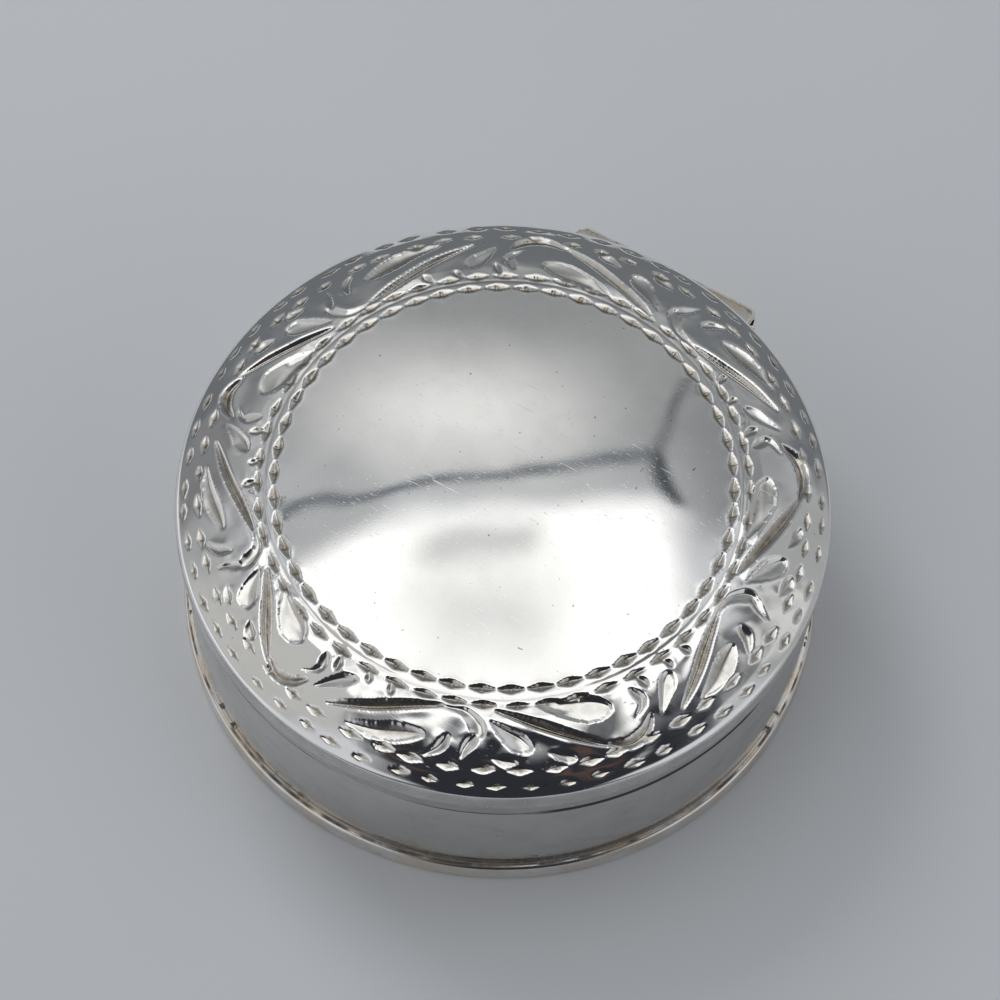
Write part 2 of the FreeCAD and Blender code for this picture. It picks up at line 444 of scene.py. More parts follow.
def cut_width(kind, along):
    """Width of a cut along its length, from 0 to 1, as a share of its greatest."""
    if kind == "stem":
        return np.sin(np.pi * along) ** 0.55
    if kind == "bead":
        return np.clip(1 - np.abs(2 * along - 1) ** 1.35, 0, 1)
    widest = 0.70 if kind == "leaf" else 0.62
    growing = np.clip(along / widest, 0, 1) ** (0.85 if kind == "leaf" else 0.7)
    closing = np.sqrt(np.clip(1 - ((along - widest) / (1 - widest)) ** 2, 0, 1))
    return np.where(along < widest, growing, closing)


def cut_profile(kind, side):
    """Depth across a cut, from its inner edge at -1 to its outer edge at 1."""
    deepest = {"stem": 0.25, "bead": -0.50, "leaf": -0.58, "wedge": -0.30}[kind]
    inner = (1 + side) / (1 + deepest)
    outer = (1 - side) / (1 - deepest)
    slope = np.clip(np.minimum(inner, outer), 0, 1)
    if kind == "stem":
        return 0.5 - 0.5 * np.cos(slope * np.pi)
    return np.where(side < deepest, slope ** 0.8, np.sin(slope * np.pi / 2) ** 1.1)


class Engraving:
    """Depth of cut, height of swelling and darkness of tarnish at each point of the lid's top."""

    def __init__(self, plan):
        self.plan = plan
        self.radius = np.hypot(plan[:, 0], plan[:, 1])
        self.cut = np.zeros(len(plan))
        self.raised = np.zeros(len(plan))
        self.tarnish = np.zeros(len(plan))

    def beside(self, line, reach):
        """The points near a line: their numbers, how far along it and out from it, and if past an end."""
        low = line.min(0) - reach
        high = line.max(0) + reach
        near = np.nonzero(np.all((self.plan > low) & (self.plan < high), axis=1))[0]
        gaps = self.plan[near][:, None, :] - line[None, :, :]
        nearest = (gaps ** 2).sum(2).argmin(1)
        heading = np.gradient(line, axis=0)
        heading /= np.linalg.norm(heading, axis=1)[:, None]
        outwards = np.stack([heading[:, 1], -heading[:, 0]], 1)
        outwards *= np.sign((outwards * line).sum(1))[:, None]
        offset = gaps[np.arange(len(near)), nearest]
        ahead = (offset * heading[nearest]).sum(1)
        last = len(line) - 1
        past_end = ((nearest == 0) & (ahead < 0)) | ((nearest == last) & (ahead > 0))
        return near, nearest / last, (offset * outwards[nearest]).sum(1), past_end

    def engrave(self, kind, line, width, depth, stain):
        """Make one cut along a line of the plan, with the lips that it throws up."""
        near, along, distance, past_end = self.beside(line, width * 1.6)
        half = np.maximum(cut_width(kind, along) * width / 2, 0.03)
        side = distance / half
        inside = (np.abs(side) < 1) & ~past_end
        taper = cut_width(kind, along) ** 0.6
        cut = np.where(inside, cut_profile(kind, side) * taper * depth, 0)
        spread, height = (0.16, 0.07) if kind == "bead" else (0.45 * width + 0.1, 0.5 * width)
        lip = np.exp(-((np.abs(distance) - half) / spread) ** 2) * np.clip(5 * along * (1 - along), 0, 1)
        raised = np.where(inside | past_end, 0, lip * depth * height)
        stained = np.where(inside, stain * taper * np.exp(-((side + 0.2) / 0.9) ** 2), 0)
        self.cut[near] = np.maximum(self.cut[near], cut)
        self.raised[near] += raised
        self.tarnish[near] = np.maximum(self.tarnish[near], stained)

    def engrave_fifths(self, dice):
        """The five repeats of the leafy border."""
        stains = {"stem": 0.95, "leaf": 0.35, "wedge": 0.6}
        for fifth in range(len(CUT_MARKS)):
            for _, kind, width, depth, points in FIFTH:
                turn = dice.uniform(-0.5, 0.5)
                shift = dice.uniform(-0.08, 0.08)
                line = smooth_line([plan_point(on_fifth(degrees, fifth) + turn, radius + shift)
                                    for degrees, radius in points])
                self.engrave(kind, line, width * dice.uniform(0.88, 1.12), depth * dice.uniform(0.85, 1.1),
                             stains[kind])

    def engrave_rows(self, dice):
        """The chains round the plain middle and the rows along the edge."""
        for _, radius, count, length, width, depth, uneven in ROWS:
            for index in range(count):
                middle = 360 / count * (index + dice.uniform(-0.25, 0.25) * uneven)
                half = math.degrees(length / radius) / 2 * dice.uniform(1 - 0.3 * uneven, 1 + 0.1 * uneven)
                place = radius + dice.uniform(-0.12, 0.12) * uneven
                lean = dice.uniform(-0.1, 0.1) * uneven
                points = [plan_point(middle - half, place - lean), plan_point(middle, place),
                          plan_point(middle + half, place + lean)]
                self.engrave("bead", smooth_line(points, 40), width * dice.uniform(0.9, 1.1),
                             depth * dice.uniform(0.85, 1.1), 1.0)
                notch = [plan_point(middle, place - width * 0.32), plan_point(middle, place + width * 0.32)]
                self.engrave("stem", smooth_line(notch, 8), 0.2, depth * 1.3, 1.0)

    def scribe_line(self):
        """The thin line scribed between the two chains."""
        depth = np.exp(-((self.radius - SCRIBED_LINE) / 0.05) ** 2) * 0.12
        self.cut = np.maximum(self.cut, depth)
        self.tarnish = np.maximum(self.tarnish, depth * 3)

    def swell(self, heights):
        """Raise the soft swellings between the cuts."""
        fade_in = np.clip((self.radius - 13.3) / 0.8, 0, 1)
        fade_out = np.clip((17.9 - self.radius) / 0.8, 0, 1)
        self.raised = self.raised * fade_out + heights * fade_in * fade_out


# ---------------------------------------------------------------- finishes

class NodeWork:
    """A node tree, with short ways to add the common nodes."""

    def __init__(self, tree):
        self.nodes = tree.nodes
        self.links = tree.links

    def add(self, kind, **values):
        """Add a node and set its values."""
        node = self.nodes.new(kind)
        for key, value in values.items():
            setattr(node, key, value)
        return node

    def join(self, source, socket):
        """Put a socket's output, or a plain value, into an input."""
        if isinstance(source, bpy.types.NodeSocket):
            self.links.new(source, socket)
        else:
            socket.default_value = source

    def ramp(self, value, low, high, out_low=0.0, out_high=1.0):
        """Stretch a value's range from low..high to out_low..out_high, and clip it there."""
        node = self.add("ShaderNodeMapRange", clamp=True, interpolation_type="SMOOTHSTEP")
        self.join(value, node.inputs["Value"])
        node.inputs["From Min"].default_value = low
        node.inputs["From Max"].default_value = high
        node.inputs["To Min"].default_value = out_low
        node.inputs["To Max"].default_value = out_high
        return node.outputs["Result"]

    def math(self, operation, first, second=0.0):
        """One sum on two values."""
        node = self.add("ShaderNodeMath", operation=operation)
        self.join(first, node.inputs[0])
        self.join(second, node.inputs[1])
        return node.outputs[0]

    def times(self, first, second):
        """Two values multiplied."""
        return self.math("MULTIPLY", first, second)

    def larger(self, first, second):
        """The larger of two values at each point."""
        return self.math("MAXIMUM", first, second)

    def blend(self, share, first, second):
        """Mix two colours."""
        node = self.add("ShaderNodeMix", data_type="RGBA")
        self.join(share, node.inputs["Factor"])
        for socket, colour in ((node.inputs[6], first), (node.inputs[7], second)):
            self.join(colour if isinstance(colour, bpy.types.NodeSocket) else (*colour, 1), socket)
        return node.outputs[2]


class Finish(NodeWork):
    """A material's nodes."""

    def __init__(self, name):
        self.material = bpy.data.materials.new(name)
        self.material.use_nodes = True
        super().__init__(self.material.node_tree)
        self.shader = self.nodes["Principled BSDF"]
        self.place = self.add("ShaderNodeTexCoord").outputs["Object"]

    def mapped(self, scale, turn=0.0, shift=(0, 0, 0)):
        """Place on the piece in millimetres, turned about the upright and stretched."""
        node = self.add("ShaderNodeMapping")
        node.inputs["Location"].default_value = shift
        node.inputs["Rotation"].default_value = (0, 0, turn)
        node.inputs["Scale"].default_value = [1000 * part for part in scale]
        self.links.new(self.place, node.inputs["Vector"])
        return node.outputs["Vector"]

    def noise(self, vector, scale=1.0, detail=2.0, roughness=0.5):
        """Soft random pattern from 0 to 1."""
        node = self.add("ShaderNodeTexNoise")
        self.links.new(vector, node.inputs["Vector"])
        node.inputs["Scale"].default_value = scale
        node.inputs["Detail"].default_value = detail
        node.inputs["Roughness"].default_value = roughness
        return node.outputs["Fac"]

    def split(self):
        """The place on the piece as x, y and z in metres."""
        node = self.add("ShaderNodeSeparateXYZ")
        self.links.new(self.place, node.inputs[0])
        return node.outputs

    def stain(self, name):
        """A value painted on the piece's points."""
        return self.add("ShaderNodeAttribute", attribute_name=name).outputs["Fac"]

    def dent(self, height, depth, previous=None):
        """Bump the surface by height, depth metres deep."""
        node = self.add("ShaderNodeBump")
        node.inputs["Strength"].default_value = 1.0
        node.inputs["Distance"].default_value = depth
        self.join(height, node.inputs["Height"])
        if previous is not None:
            self.links.new(previous, node.inputs["Normal"])
        return node.outputs["Normal"]

    def hairlines(self, turns, length, fineness, rarity, seed):
        """Fine straight scratches in several directions, 1 on a scratch and 0 beside it."""
        total = None
        for index, turn in enumerate(turns):
            shift = (seed + 7.3 * index, 3.1 * index, seed)
            vector = self.mapped((1 / length, fineness, 1 / length), turn, shift)
            line = self.ramp(self.noise(vector, 1.0, 1.0), rarity, rarity + 0.10)
            total = line if total is None else self.larger(total, line)
        return total


def polished_silver(name, stain, dirt_and_shade=None, warmth=None, shade_tone=1.0, roughness=(0.09, 0.22), wobble=0.02):
    """Worn silver. The stain, dirt and warmth arguments each take the finish and give a share at each point;
    the dirt share is painted shade on the lid's edge, dirt and painted shade on the lid band and wall, and
    dirt elsewhere.

    A tone under 1 is painted shade that makes the silver darker than the lid's, and wobble is the depth of
    its slow waves in mm.
    """
    colours = settings().colours
    finish = Finish(name)
    fine = finish.hairlines((0.2, 0.8, 1.3, 1.9, 2.5, 2.9), 0.55, 14.0, 0.74, 2.0)
    long = finish.hairlines((0.5, 1.6, 2.3), 2.5, 12.0, 0.745, 31.0)
    lines = finish.larger(fine, long)
    cloud = finish.noise(finish.mapped((0.35, 0.35, 0.35)), 1.0, 4.0, 0.6)
    grain = finish.noise(finish.mapped((9, 9, 9)), 1.0, 3.0, 0.6)
    pits = finish.ramp(finish.noise(finish.mapped((3.6, 3.6, 3.6)), 1.0, 1.0), 0.775, 0.80)
    # Painted shade: a tone under 1 darkens the clean silver.
    clean = [shade_tone * part for part in colours.silver]
    colour = finish.blend(finish.ramp(cloud, 0.35, 0.75), clean, [0.93 * part for part in clean])
    if warmth:
        colour = finish.blend(warmth(finish), colour, [shade_tone * part for part in colours.warm_stain])
    colour = finish.blend(finish.times(pits, 0.6), colour, colours.dirt_and_shade)
    tarnish = stain(finish)
    colour = finish.blend(tarnish, colour, colours.tarnish)
    worn = finish.ramp(cloud, 0.25, 0.8, *roughness)
    worn = finish.math("ADD", worn, finish.times(lines, 0.06))
    worn = finish.math("ADD", worn, finish.times(tarnish, 0.28))
    metal = 1.0
    # Dirt and painted shade: darkens the colour, roughens it and takes away metal.
    if dirt_and_shade:
        grime_and_shade = dirt_and_shade(finish)
        colour = finish.blend(grime_and_shade, colour, colours.dirt_and_shade)
        worn = finish.math("ADD", worn, finish.times(grime_and_shade, 0.4))
        metal = finish.math("SUBTRACT", 1.0, finish.times(grime_and_shade, 0.8))
    finish.join(colour, finish.shader.inputs["Base Color"])
    finish.join(metal, finish.shader.inputs["Metallic"])
    finish.join(worn, finish.shader.inputs["Roughness"])
    slow = finish.noise(finish.mapped((0.16, 0.16, 0.16)), 1.0, 1.0)
    normal = finish.dent(slow, wobble * MM)
    normal = finish.dent(grain, 0.0005 * MM, normal)
    normal = finish.dent(lines, -0.0009 * MM, normal)
    finish.join(normal, finish.shader.inputs["Normal"])
    return finish.material


def ring_noise(finish, around, up, seed=0.0):
    """Noise that runs round the box: around and up are its fineness per mm."""
    return finish.noise(finish.mapped((around, around, up), 0, (seed, seed, seed)), 1.0, 2.0)


def height_band(finish, low, high, soft):
    """1 between two heights in mm, fading out over soft mm."""
    up = finish.times(finish.split()[2], 1000.0)
    rising = finish.ramp(up, low - soft, low)
    falling = finish.ramp(up, high, high + soft, 1.0, 0.0)
    return finish.times(rising, falling)


def engraved_tarnish(finish):
    """Tarnish held in the cuts, patchy."""
    patches = finish.ramp(finish.noise(finish.mapped((2.5, 2.5, 2.5)), 1.0, 3.0), 0.3, 0.62, 0.65, 1.0)
    return finish.times(finish.stain("tarnish"), patches)


def faint_tarnish(finish):
    """The lightest clouding, in patches."""
    return finish.ramp(finish.noise(finish.mapped((0.5, 0.5, 0.9)), 1.0, 4.0, 0.65), 0.45, 0.75, 0.0, 0.25)


def inside_tarnish(finish):
    """Light tarnish in wide patches."""
    return finish.ramp(finish.noise(finish.mapped((0.25, 0.25, 0.25)), 1.0, 4.0, 0.6), 0.4, 0.8, 0.05, 0.35)


def rim_shade(finish):
    """Painted shade that darkens the upright edge of the dome, in patches."""
    low = DOME_LOW.z / MM
    high = low + settings().lid.skirt_height / MM + 0.17
    patches = finish.ramp(ring_noise(finish, 0.5, 0.5, 15.0), 0.3, 0.7, 0.34, 0.50)
    return finish.times(height_band(finish, low - 1, high, 0.06), patches)


def band_dirt_and_shade(finish):
    """Dotted solder line under the dome's edge, and dirt along the seam with painted shade at the front
    right.
    """
    top = BAND_HIGH.z / MM
    seam = SEAM_HEIGHT / MM
    dots = finish.ramp(ring_noise(finish, 2.2, 1.0, 4.0), 0.52, 0.60)
    places = finish.ramp(ring_noise(finish, 0.22, 0.2, 21.0), 0.42, 0.58)
    solder = finish.times(height_band(finish, top - 0.16, top + 0.1, 0.06), finish.times(dots, places))
    return finish.larger(solder, seam_dirt_and_shade(finish, seam - 0.4, seam + 0.18))


def seam_dirt_and_shade(finish, low, high):
    """Dirt in the seam between lid and box, with painted shade that makes it thickest at the front right,
    away from the light.

    low and high are the heights in mm that the painted shade at the front right reaches.
    """
    patches = finish.ramp(ring_noise(finish, 0.16, 0.1, 9.0), 0.44, 0.60, 0.10, 0.7)
    # Painted shade: the line is thickest on the side facing the front right, away from the light.
    parts = finish.split()
    turn = math.radians(-31)
    facing = finish.math(
        "ADD", finish.times(parts[0], math.cos(turn)), finish.times(parts[1], math.sin(turn)))
    shaded_side = finish.ramp(facing, 0.90 * WALL_HIGH.x, 0.95 * WALL_HIGH.x)
    thin = finish.times(height_band(finish, low + 0.12, high - 0.12, 0.05), patches)
    thick = finish.times(height_band(finish, low, high, 0.05), shaded_side)
    return finish.larger(thin, thick)


def corner_flecks(finish, low):
    """Black flecks just above the foot, in a few places round the box."""
    dashes = finish.ramp(ring_noise(finish, 1.5, 3.5, 2.0), 0.56, 0.62)
    places = finish.ramp(ring_noise(finish, 0.16, 0.1, 40.0), 0.44, 0.56)
    return finish.times(height_band(finish, low, low + 0.45, 0.2), finish.times(dashes, places))


def wall_dirt_and_shade(finish):
    """Dirt along the seam with painted shade at the front right, and black flecks and a brown line in the
    corner above the base's lip.
    """
    seam = SEAM_HEIGHT / MM
    corner = BASE_HIGH.z / MM
    line = finish.times(height_band(finish, corner - 0.2, corner + 0.06, 0.07),
                        finish.ramp(ring_noise(finish, 0.6, 0.3, 3.0), 0.35, 0.6, 0.25, 0.85))
    low = finish.larger(corner_flecks(finish, corner + 0.05), line)
    return finish.larger(seam_dirt_and_shade(finish, seam - 0.16, seam + 0.4), low)


def foot_line(finish, low, high, soft, least, most):
    """A broken line of dirt by the top of the foot. low and high are in mm from that top."""
    top = FOOT_HIGH.z / MM
    line = height_band(finish, top + low, top + high, soft)
    return finish.times(line, finish.ramp(ring_noise(finish, 0.8, 0.5, 5.0), 0.38, 0.62, least, most))


def lip_dirt(finish):
    """Dirt where the foot meets the base's lip, and a few flecks."""
    line = foot_line(finish, -0.3, 0.03, 0.04, 0.3, 0.9)
    return finish.larger(line, finish.times(corner_flecks(finish, 1.3), 0.8))


def foot_dirt(finish):
    """Thin dirt along the inner edge of the foot."""
    return foot_line(finish, -0.012, 0.3, 0.02, 0.1, 0.85)


def low_warmth(finish):
    """Yellow clouding towards the foot."""
    fade = finish.ramp(finish.times(finish.split()[2], 1000.0), 1.0, 4.2, 1.0, 0.0)
    return finish.times(fade, finish.ramp(ring_noise(finish, 0.5, 0.5, 11.0), 0.3, 0.65, 0.05, 0.5))


def hinge_warmth(finish):
    """Golden tarnish over most of the hinge."""
    return finish.ramp(finish.noise(finish.mapped((0.7, 0.7, 0.7)), 1.0, 3.0, 0.6), 0.35, 0.62, 0.15, 0.85)


def hinge_dirt(finish):
    """Grime in the joints of the hinge."""
    return finish.ramp(finish.noise(finish.mapped((1.6, 1.6, 1.6)), 1.0, 3.0, 0.6), 0.56, 0.72, 0.0, 0.6)


# ---------------------------------------------------------------- the pieces

def paint(piece, name, values):
    """Store a value on each point of the piece."""
    layer = piece.data.attributes.new(name, "FLOAT", "POINT")
    layer.data.foreach_set("value", np.asarray(values, np.float32))


def displace_by_group(piece, name, weights, strength):
    """Move each point along its normal by its weight, with a modifier that is then applied."""
    group = piece.vertex_groups.new(name=name)
    for index in np.nonzero(weights > 0.001)[0]:
        group.add([int(index)], float(weights[index]), "REPLACE")
    modifier = piece.modifiers.new(name, "DISPLACE")
    modifier.vertex_group = name
    modifier.mid_level = 0.0
    modifier.strength = strength
    bpy.ops.object.modifier_apply(modifier=name)


class PILLBOX_OT_engraved_lid(bpy.types.Operator):
    """Domed lid with its engraved border"""

    bl_idname = "pill_box.engraved_lid"
    bl_label = "Engraved Lid"

    def execute(self, context):
        engraving = settings().engraving
        section = LidSection(settings().lid)
        lid = self.lid_sheet(context, section, engraving)
        self.cut_border(lid, section, engraving)
        # The dome's upright edge gets painted shade, in patches.
        silver = polished_silver(
            "engraved silver", engraved_tarnish, rim_shade, None, 1.0, (0.03, 0.075), 0.045)
        finish_piece(lid, "lid", ["lid_dome"], silver)
        return {"FINISHED"}

    def lid_sheet(self, context, section, engraving):
        """The plain lid: border, middle and underside, each turned round and then joined at their edges."""
        border_inner = settings().lid.crown_radius - 0.35 * MM
        middle_outer = border_inner - 0.25 * MM
        border = self.border(section.border(border_inner, engraving.rows), engraving.columns)
        parts = [border]
        for name, points in (("lid_middle", section.middle(middle_outer)),
                             ("lid_underside", section.underside(BAND_INNER_RADIUS))):
            deselect_all()
            parts.append(add_section(points, name))
            spin_selected(180)
        deselect_all()
        for part in parts:
            part.select_set(True)
        context.view_layer.objects.active = border
        bpy.ops.object.join()
        bpy.ops.object.mode_set(mode="EDIT")
        bpy.ops.mesh.select_all(action="SELECT")
        bpy.ops.mesh.remove_doubles(threshold=0.002 * MM)
        self.bridge(border, section.crown_point(border_inner), section.crown_point(middle_outer))
        self.bridge(border, (section.outer, section.skirt_bottom), (BAND_INNER_RADIUS, section.skirt_bottom))
        return close_piece(border, 60)

    def border(self, points, columns):
        """The finely divided border: one slice turned by small steps, and then copied round."""
        deselect_all()
        border = add_section(points, "engraved_lid")
        slices = 30
        turn = math.tau / slices
        spin_selected(columns // slices, angle=turn)
        bpy.ops.mesh.select_all(action="SELECT")
        spin_selected(slices - 1, angle=turn * (slices - 1), dupli=True)
        return border

    def bridge(self, lid, first, second):
        """Close the gap between two round edges, each given by its radius and height."""
        def on_ring(point, ring):
            off = math.hypot(point.x, point.y) - ring[0]
            return abs(off) < CLOSE and abs(point.z - ring[1]) < CLOSE

        rings = (first, second)
        select_edges(lid, lambda a, b: any(on_ring(a, ring) and on_ring(b, ring) for ring in rings))
        bpy.ops.mesh.bridge_edge_loops()

    def cut_border(self, lid, section, engraving):
        """Cut the border into the lid's outer surface."""
        points = np.zeros(len(lid.data.vertices) * 3)
        lid.data.vertices.foreach_get("co", points)
        points = points.reshape(-1, 3) / MM
        radius = np.hypot(points[:, 0], points[:, 1])
        normals = np.zeros(len(lid.data.vertices) * 3)
        lid.data.vertices.foreach_get("normal", normals)
        faces_up = normals.reshape(-1, 3)[:, 2] > 0.05
        top = faces_up & (radius > 11.0) & (points[:, 2] > section.edge_height / MM)
        dice = random.Random(14)
        work = Engraving(points[:, :2])
        work.engrave_rows(dice)
        work.engrave_fifths(dice)
        work.scribe_line()
        work.swell(swelling_heights(points))
        paint(lid, "tarnish", work.tarnish * top)
        displace_by_group(lid, "cuts", np.clip(work.cut, 0, 1) * top, -engraving.cut_depth)
        raised = np.clip(work.raised, 0, 2) / 2
        displace_by_group(lid, "swellings", raised * top, 2 * engraving.swell_height)
        soften = lid.modifiers.new("soften", "SMOOTH")
        soften.vertex_group = "cuts"
        soften.factor = 0.5
        soften.iterations = 2
        bpy.ops.object.modifier_apply(modifier="soften")


def swelling_heights(points):
    """Soft random heights from 0 to 1, about 2 mm across."""
    heights = [noise.noise(Vector(point) * 0.42) for point in points]
    return np.clip(0.5 + 0.5 * np.array(heights), 0, 1)


def take_away(piece, cutter):
    """Cut one piece with another, and remove the cutter."""
    deselect_all()
    piece.select_set(True)
    bpy.context.view_layer.objects.active = piece
    modifier = piece.modifiers.new("cut", "BOOLEAN")
    modifier.operation = "DIFFERENCE"
    modifier.solver = "EXACT"
    modifier.object = cutter
    bpy.ops.object.modifier_apply(modifier=modifier.name)
    bpy.data.objects.remove(cutter)


def rod_on_hinge(radius, start, end):
    """A plain rod on the hinge's line, to cut a groove with."""
    place = ((start + end) / 2, HINGE_LINE.y, HINGE_LINE.z)
    bpy.ops.mesh.primitive_cylinder_add(
        vertices=48, radius=radius, depth=end - start, location=place, rotation=(0, math.radians(90), 0))
    bpy.ops.object.transform_apply(location=True, rotation=True, scale=True)
    return bpy.context.object


def let_in_hinge(piece, own_knuckles):
    """Cut the hinge's groove: close round the piece's own knuckles and free round the others."""
    reach = KNUCKLE_PITCH / 2 + 0.001 * MM
    for node in BOX_KNUCKLES + LID_KNUCKLES:
        low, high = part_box(node)
        middle = (low.x + high.x) / 2
        room = 0.0 if node in own_knuckles else TURNING_ROOM
        deselect_all()
        take_away(piece, rod_on_hinge(KNUCKLE_RADIUS + room, middle - reach, middle + reach))


class PILLBOX_OT_lid_band(bpy.types.Operator):
    """Lower band of the lid"""

    bl_idname = "pill_box.lid_band"
    bl_label = "Lid Band"

    def execute(self, context):
        deselect_all()
        band = spun_band("lid_rim_band", (BAND_INNER_RADIUS, BAND_HIGH.x), (BAND_LOW.z, BAND_HIGH.z),
                         (0.05, 0, 0, 0.10))
        let_in_hinge(band, LID_KNUCKLES)
        # A tone of 0.57 is painted shade: the band is darker than the lid's silver.
        silver = polished_silver(
            "lid band silver", faint_tarnish, band_dirt_and_shade, None, 0.57, (0.12, 0.24), 0.05)
        finish_piece(band, "lid", ["lid_band"], silver)
        return {"FINISHED"}


class PILLBOX_OT_side_wall(bpy.types.Operator):
    """Side wall of the box"""

    bl_idname = "pill_box.side_wall"
    bl_label = "Side Wall"

    def execute(self, context):
        deselect_all()
        wall = spun_band("side_wall", (BEZEL_HIGH.x, WALL_HIGH.x), (WALL_LOW.z, WALL_HIGH.z),
                         (0, 0.05, 0.10, 0))
        let_in_hinge(wall, BOX_KNUCKLES)
        # A tone of 0.62 is painted shade: the wall is darker than the lid's silver.
        silver = polished_silver(
            "side wall silver", faint_tarnish, wall_dirt_and_shade, low_warmth, 0.62, (0.12, 0.26), 0.08)
        finish_piece(wall, "box", ["body_wall"], silver)
        return {"FINISHED"}


class PILLBOX_OT_inner_bezel(bpy.types.Operator):
    """Thin ring inside the wall that the lid closes over"""

    bl_idname = "pill_box.inner_bezel"
    bl_label = "Inner Bezel"

    def execute(self, context):
        deselect_all()
        inner = BEZEL_HIGH.x - BEZEL_THICKNESS
        bezel = spun_band("closing_bezel", (inner, BEZEL_HIGH.x), (BEZEL_LOW.z, BEZEL_HIGH.z),
                          (0.10, 0.18, 0.18, 0))
        let_in_hinge(bezel, BOX_KNUCKLES)
        silver = polished_silver("bezel silver", inside_tarnish, roughness=(0.14, 0.28), wobble=0.04)
        finish_piece(bezel, "box", ["inner_bezel"], silver)
        return {"FINISHED"}


class PILLBOX_OT_base(bpy.types.Operator):
    """Base of the box with its upturned lip, and the foot, a strip with rounded edges"""

    bl_idname = "pill_box.base"
    bl_label = "Base and Foot"

    def execute(self, context):
        base = self.base_plate()
        # A tone of 0.92 is painted shade: the base is a little darker than the lid's silver.
        silver = polished_silver(
            "base silver", inside_tarnish, lip_dirt, low_warmth, 0.92, (0.14, 0.28), 0.08)
        finish_piece(base, "box", ["base_tray"], silver)
        deselect_all()
        foot = spun_band("foot_wire", (BASE_HIGH.x, FOOT_HIGH.x), (FOOT_LOW.z, FOOT_HIGH.z),
                         (0, 0, 0.245, 0.12))
        # A tone of 0.92 is painted shade: the foot is a little darker than the lid's silver.
        silver = polished_silver(
            "foot silver", faint_tarnish, foot_dirt, low_warmth, 0.92, (0.14, 0.26), 0.05)
        finish_piece(foot, "box", ["foot_rim"], silver)
        return {"FINISHED"}

    def base_plate(self):
        """A disc whose middle is let down inside its lip, with a ledge for the wall to stand on."""
        deselect_all()
        height = BASE_HIGH.z - BASE_LOW.z
        bpy.ops.mesh.primitive_cylinder_add(
            vertices=RING_STEPS, radius=BASE_HIGH.x, depth=height, location=(0, 0, BASE_LOW.z + height / 2))
        base = start_piece("base_plate")
        select_verts(base, lambda co: co.z > BASE_HIGH.z - CLOSE)
        bpy.ops.mesh.select_mode(type="FACE")
        bpy.ops.mesh.inset(thickness=BASE_HIGH.x - WALL_HIGH.x)
        bpy.ops.mesh.extrude_region_move(TRANSFORM_OT_translate={"value": (0, 0, WALL_LOW.z - BASE_HIGH.z)})
        bpy.ops.mesh.inset(thickness=WALL_HIGH.x - BEZEL_HIGH.x)
        return close_piece(base)


class PILLBOX_OT_hinge_bearers(bpy.types.Operator):
    """Strips that carry the hinge on the lid and on the box"""

    bl_idname = "pill_box.hinge_bearers"
    bl_label = "Hinge Bearers"

    def execute(self, context):
        # A tone of 0.95 is painted shade: the bearers are a little darker than the lid's silver.
        warm = polished_silver(
            "hinge silver", faint_tarnish, hinge_dirt, hinge_warmth, 0.95, (0.16, 0.3), 0.05)
        self.bearer("lid_bearer", "lid", "lid_hinge_bearer", LID_KNUCKLES, warm)
        self.bearer("box_bearer", "box", "box_hinge_bearer", BOX_KNUCKLES, warm)
        return {"FINISHED"}

    def bearer(self, name, body, node, own_knuckles, finish):
        """One strip, rounded at its outer corners and hollowed to the round wall."""
        low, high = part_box(node)
        deselect_all()
        middle = (low + high) / 2
        bpy.ops.mesh.primitive_cube_add(size=1, location=middle)
        bpy.context.object.scale = high - low
        strip = start_piece(name)
        select_edges(strip, lambda a, b: min(a.y, b.y) > high.y - CLOSE and abs(a.z - b.z) > MM / 2)
        bpy.ops.mesh.bevel(offset=0.9 * MM, segments=10)
        for height in (high.z, low.z):
            select_edges(strip, lambda a, b, z=height: max(abs(a.z - z), abs(b.z - z)) < CLOSE
                         and max(a.y, b.y) > middle.y)
            bpy.ops.mesh.bevel(offset=0.07 * MM, segments=3)
        close_piece(strip)
        deselect_all()
        bpy.ops.mesh.primitive_cylinder_add(
            vertices=RING_STEPS, radius=WALL_HIGH.x, depth=8 * (high.z - low.z), location=(0, 0, middle.z))
        bpy.ops.object.transform_apply(location=True, rotation=True, scale=True)
        take_away(strip, bpy.context.object)
        let_in_hinge(strip, own_knuckles)
        deselect_all()
        strip.select_set(True)
        bpy.context.view_layer.objects.active = strip
        bpy.ops.object.shade_smooth_by_angle(angle=math.radians(35))
        finish_piece(strip, body, [node], finish)


